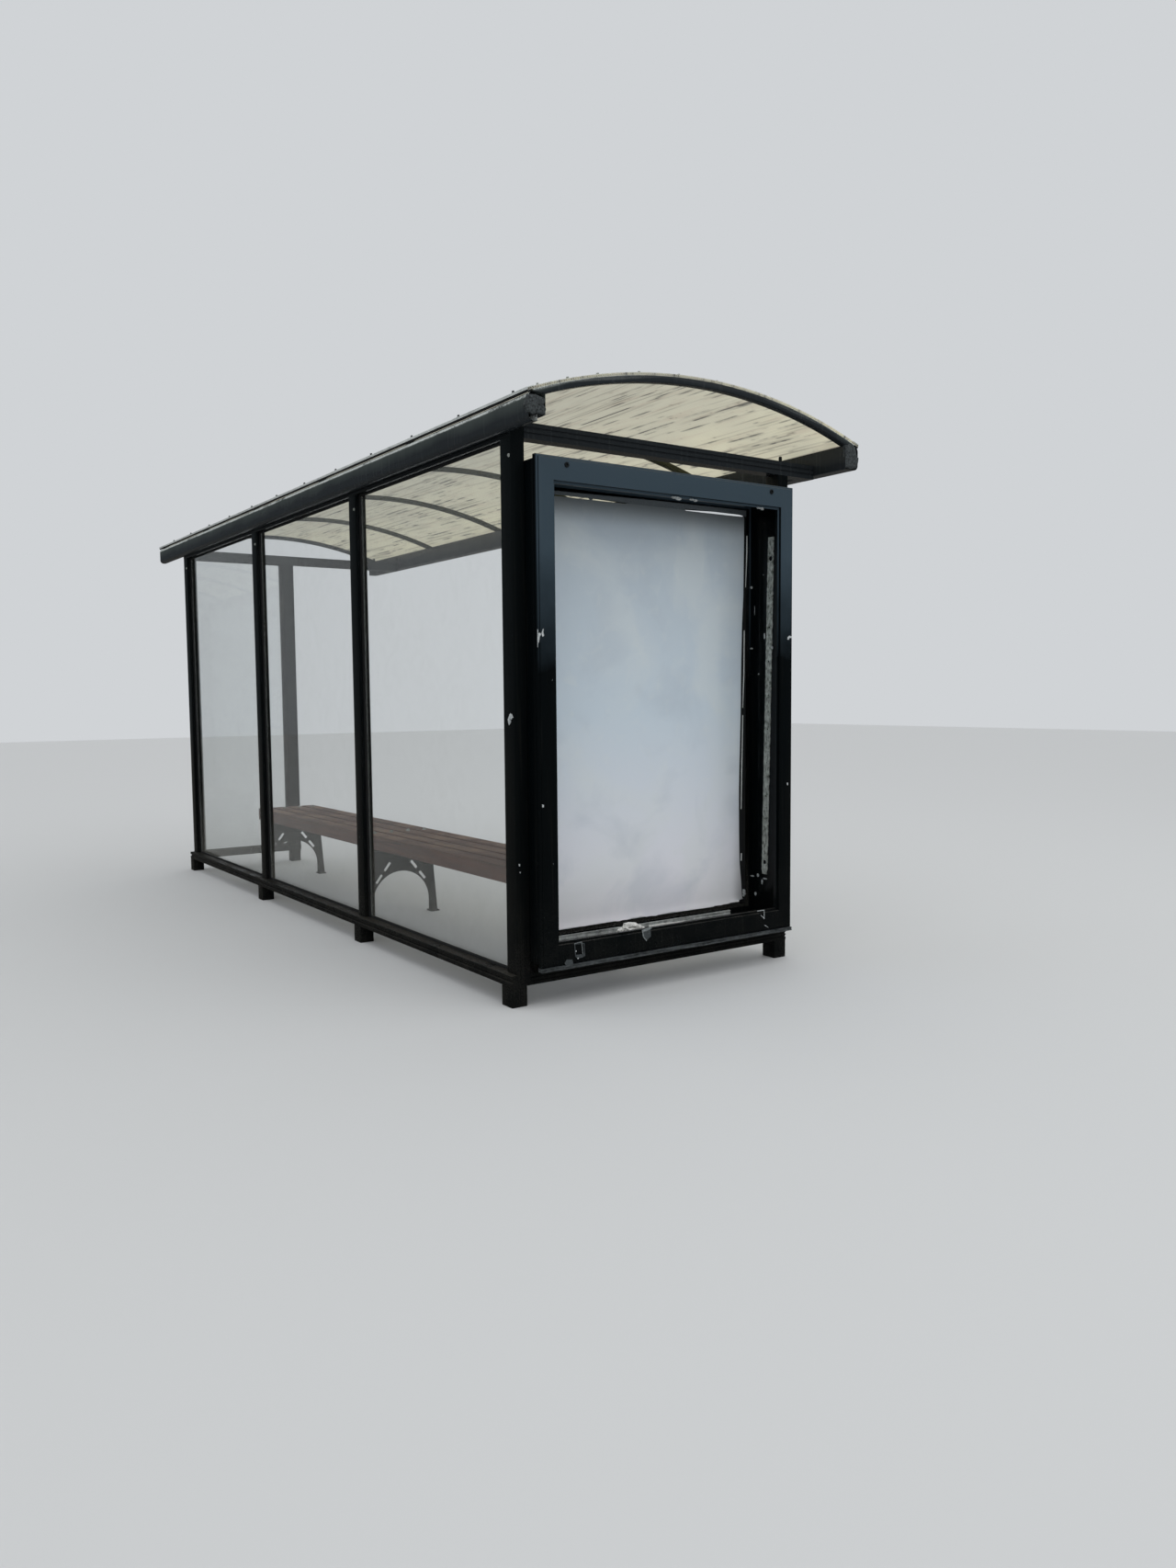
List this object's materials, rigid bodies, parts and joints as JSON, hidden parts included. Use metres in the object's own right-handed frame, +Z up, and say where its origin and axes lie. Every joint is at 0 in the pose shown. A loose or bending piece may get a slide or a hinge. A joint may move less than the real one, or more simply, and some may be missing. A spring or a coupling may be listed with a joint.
{
  "type": "bus shelter",
  "caption": "Open-fronted bus shelter: black box frame, glass back and half side, barrel-arched translucent roof, poster light box across one end and a timber bench inside.",
  "frame": {"origin": "on the ground below the middle of the roof outline", "axes": "+X along the shelter from the light box end to the glazed end, +Y from the open road side to the glass back wall, +Z up"},
  "size_m": [5.09, 1.718, 2.459],
  "materials": {
    "frame_paint": "black satin powder coat, dusty",
    "light_box_paint": "black satin powder coat, chipped",
    "wall_glass": "clear toughened glass, dirty",
    "roof_polycarbonate": "yellowed twin-wall sheet with grime in its flutes",
    "edge_trim": "bare, weathered grey",
    "glazing_profile": "black glazing profile, a paler line along its lip",
    "poster_paper": "faded and creased",
    "zinc_steel": "dull zinc",
    "bench_timber": "reddish brown stain, worn"
  },
  "bodies": {
    "root": {"rear_post_1": "frame_paint", "rear_post_2": "frame_paint", "rear_post_3": "frame_paint", "rear_post_4": "frame_paint", "near_front_post": "frame_paint", "far_side_post": "frame_paint", "feet": "frame_paint", "rear_bottom_rail": "frame_paint", "near_bottom_rail": "frame_paint", "far_bottom_rail": "frame_paint", "rear_top_rail": "frame_paint", "near_tie_beam": "frame_paint", "far_tie_beam": "frame_paint", "rear_eaves_beam": "frame_paint", "front_eaves_beam": "frame_paint", "near_end_arch": "frame_paint", "roof_rib_1": "frame_paint", "roof_rib_2": "frame_paint", "roof_rib_3": "frame_paint", "roof_rib_4": "frame_paint", "far_end_arch": "frame_paint", "roof_sheet": "roof_polycarbonate", "roof_edge_strips": "edge_trim", "rear_glass_1": "wall_glass", "rear_glass_2": "wall_glass", "rear_glass_3": "wall_glass", "side_glass": "wall_glass", "glass_channels": "glazing_profile", "case_rear_wall": "light_box_paint", "case_front_wall": "light_box_paint", "case_top": "light_box_paint", "case_bottom": "light_box_paint", "outer_frame_rear": "light_box_paint", "outer_frame_front": "light_box_paint", "outer_frame_top": "light_box_paint", "outer_frame_bottom": "light_box_paint", "inner_frame": "light_box_paint", "clear_pane": "wall_glass", "poster_sheet": "poster_paper", "poster_ledge": "zinc_steel", "perforated_strip": "zinc_steel", "frame_locks": "zinc_steel", "bench_seat": "bench_timber", "bench_leg_1": "frame_paint", "bench_leg_2": "frame_paint", "bench_leg_3": "frame_paint"}
  },
  "joints": []
}
